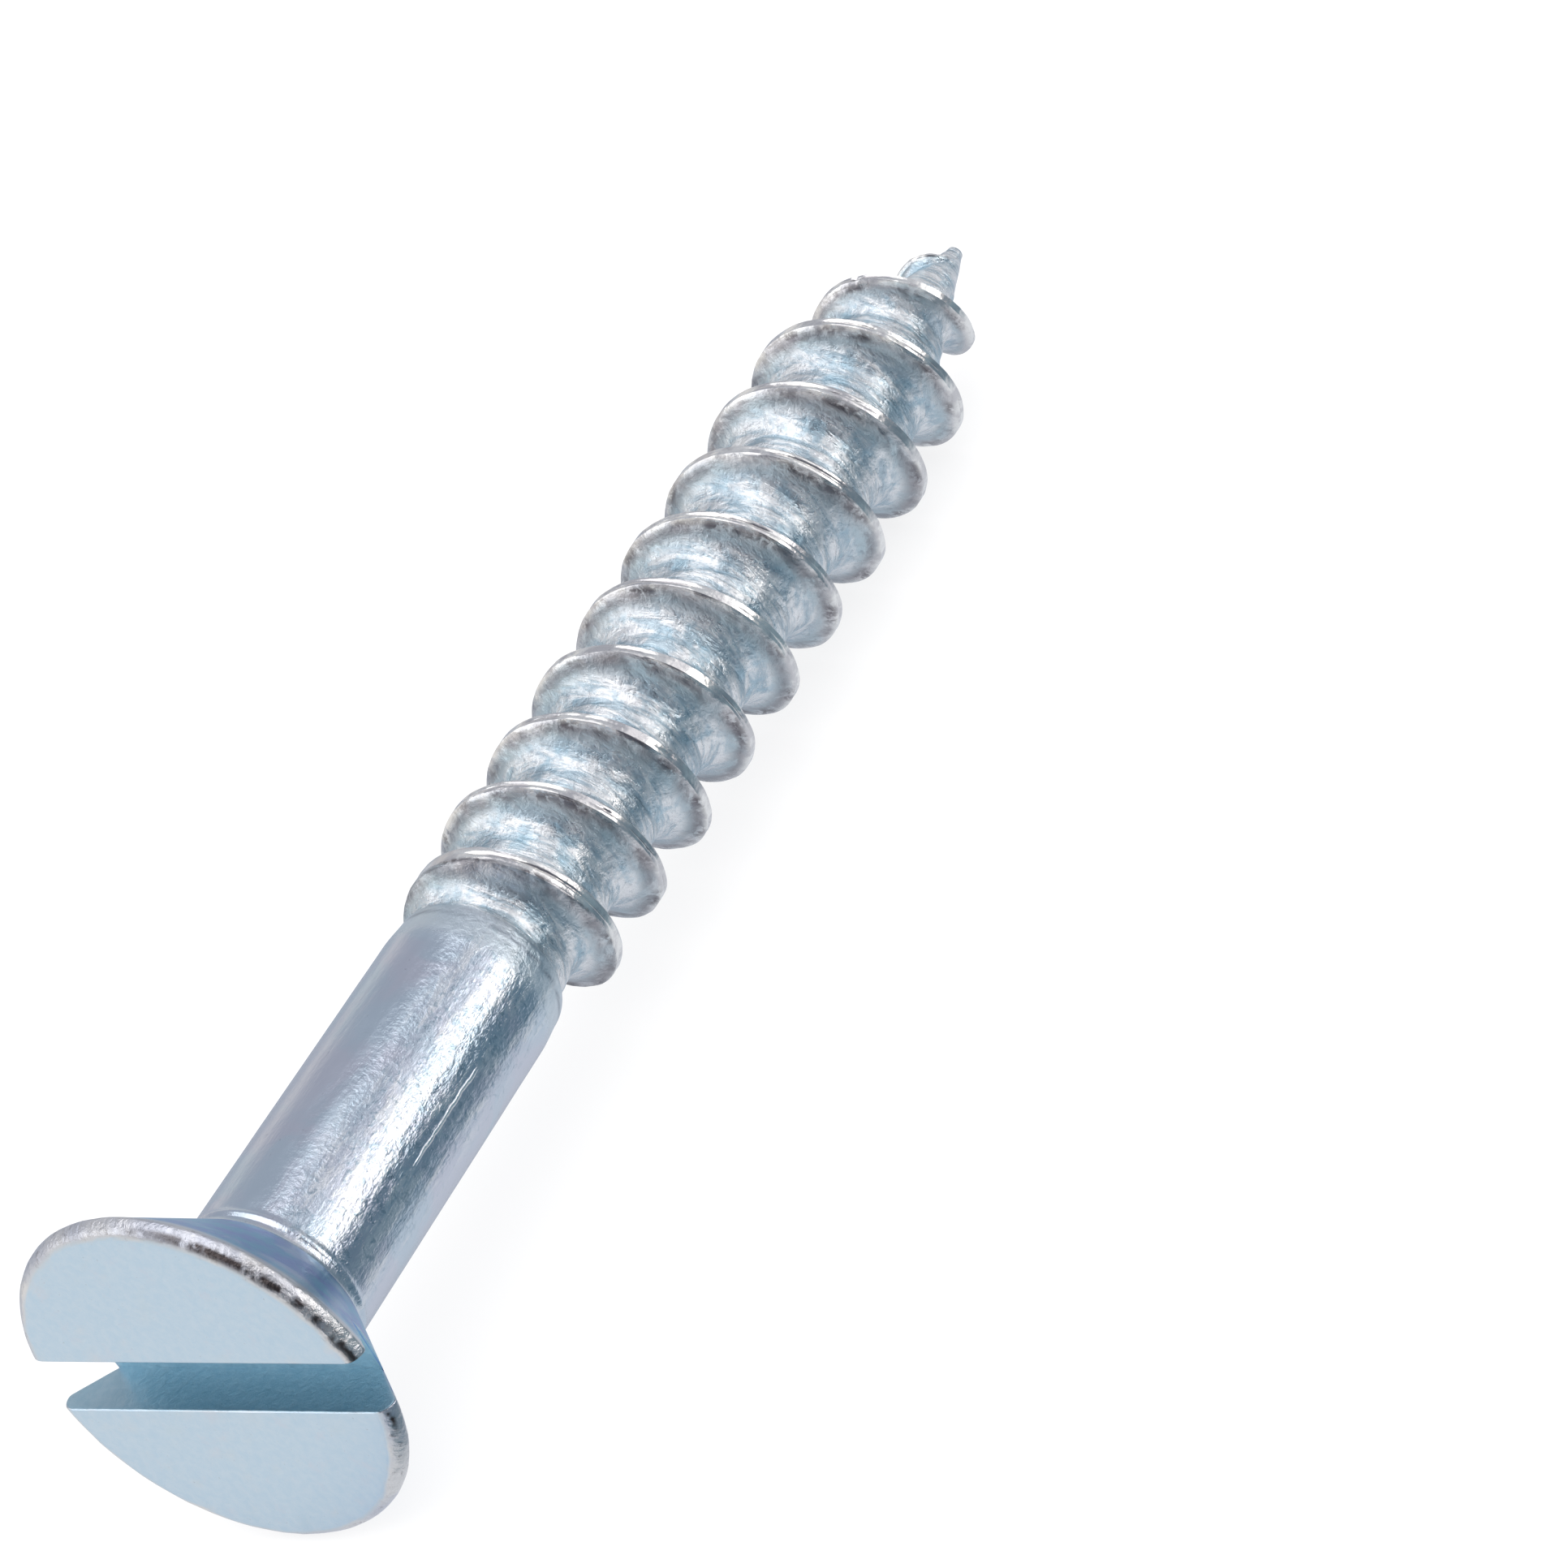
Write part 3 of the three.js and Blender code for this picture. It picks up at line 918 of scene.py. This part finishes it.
def floor():
    """A pale sheet under the screw, which rests on its rim and on its thread.

    It looks white, and the metal reflects it in darker tones that vary along and across it.
    """
    tilt = math.atan2(HEAD_RADIUS - THREAD_RADIUS, REST_SPAN)
    half = FLOOR_HALF
    corners = [(-half, -half, 0), (half, -half, 0), (half, half, 0), (-half, half, 0)]
    data = bpy.data.meshes.new("studio_floor")
    data.from_pydata(corners, [], [(0, 1, 2, 3)])
    sheet = bpy.data.objects.new("studio_floor", data)
    bpy.context.scene.collection.objects.link(sheet)
    sheet.matrix_world = Matrix.Translation(FLOOR_AT) @ Matrix.Rotation(-tilt, 4, "Y")
    material = bpy.data.materials.new("pale_floor")
    material.use_nodes = True
    n = Nodes(material.node_tree)
    place = n.add("ShaderNodeTexCoord").outputs["Object"]
    x, y = n.add("ShaderNodeSeparateXYZ", {0: place}).outputs[:2]
    matt = n.add("ShaderNodeBsdfDiffuse", {"Color": (0.93, 0.93, 0.935)}).outputs[0]
    lit_inputs = {"Color": (0.98, 0.98, 0.985), "Strength": 1.0}
    lit = n.add("ShaderNodeEmission", lit_inputs).outputs[0]
    white = n.add("ShaderNodeMixShader", {0: 0.80, 1: matt, 2: lit}).outputs[0]
    near = n.mix(n.remap(x, -0.003, 0.005), (0.92, 0.93, 0.93), (0.50, 0.54, 0.61))
    near = n.mix(n.remap(y, 0.001, -0.002), near, (0.74, 0.78, 0.84))
    tone = n.mix(n.remap(y, -0.0028, -0.0050), near, (0.16, 0.24, 0.30))
    shade = n.add("ShaderNodeEmission", {"Color": tone, "Strength": 1.0}).outputs[0]
    glossy = n.add("ShaderNodeLightPath").outputs["Is Glossy Ray"]
    mixed = n.add("ShaderNodeMixShader", {0: glossy, 1: white, 2: shade})
    n.add("ShaderNodeOutputMaterial", {"Surface": mixed.outputs[0]})
    data.materials.append(material)


def softbox(name, direction, distance, size, radiance, colour):
    """A soft area light that faces the middle of the screw. radiance is how bright it looks."""
    light = bpy.data.lights.new(name, "AREA")
    light.shape = "RECTANGLE"
    light.size, light.size_y = size
    light.energy = radiance * math.pi * size[0] * size[1]
    light.color = colour
    lamp = bpy.data.objects.new(name, light)
    bpy.context.scene.collection.objects.link(lamp)
    away = Vector(direction).normalized()
    lamp.location = Vector(LIGHT_TARGET) + away * distance
    lamp.rotation_euler = away.to_track_quat("Z", "Y").to_euler()


def world():
    """A pale studio, darker round one direction and low down on the -Y side.

    It lights the floor more brightly than it looks in the metal.
    """
    made = bpy.data.worlds.new("studio")
    bpy.context.scene.world = made
    made.use_nodes = True
    n = Nodes(made.node_tree)
    way = n.add("ShaderNodeTexCoord").outputs["Generated"]
    y, height = n.add("ShaderNodeSeparateXYZ", {0: way}).outputs[1:3]
    dark_side = n.remap(n.dot(way, DARK_WAY), 0.77, 0.91)
    low_down = n.times(n.remap(y, -0.15, -0.55), n.remap(height, 0.26, 0.06))
    sky = n.mix(n.remap(height, 0.05, 0.5), (0.80, 0.79, 0.78), (0.49, 0.52, 0.58))
    colour = n.mix(n.math("MAXIMUM", dark_side, low_down), sky, (0.09, 0.095, 0.125))
    path = n.add("ShaderNodeLightPath").outputs
    colour = n.mix(path["Is Diffuse Ray"], colour, (1.5, 1.5, 1.5))
    colour = n.mix(path["Is Camera Ray"], colour, (0.93, 0.93, 0.94))
    back = n.add("ShaderNodeBackground", {"Color": colour, "Strength": 1.0})
    n.add("ShaderNodeOutputWorld", {"Surface": back.outputs[0]})


def camera():
    data = bpy.data.cameras.new("camera")
    data.lens = CAMERA_LENS
    data.sensor_width = CAMERA_SENSOR
    data.clip_start = 0.005
    data.clip_end = 20
    view = bpy.data.objects.new("camera", data)
    bpy.context.scene.collection.objects.link(view)
    turn = Matrix((CAMERA_RIGHT, CAMERA_UP, CAMERA_BACK)).transposed().to_4x4()
    view.matrix_world = Matrix.Translation(Vector(CAMERA_AT) * MM) @ turn
    bpy.context.scene.camera = view


def main():
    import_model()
    screw, zone_names = build_screw()
    screw.data.materials.append(zinc_material(zone_names))
    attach(screw, "root")
    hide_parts("wood_screw")

    floor()
    world()
    for box in SOFTBOXES:
        softbox(*box)
    camera()

    settings = bpy.context.scene.view_settings
    settings.view_transform = "Standard"
    settings.look = "None"
    bpy.context.view_layer.update()


main()
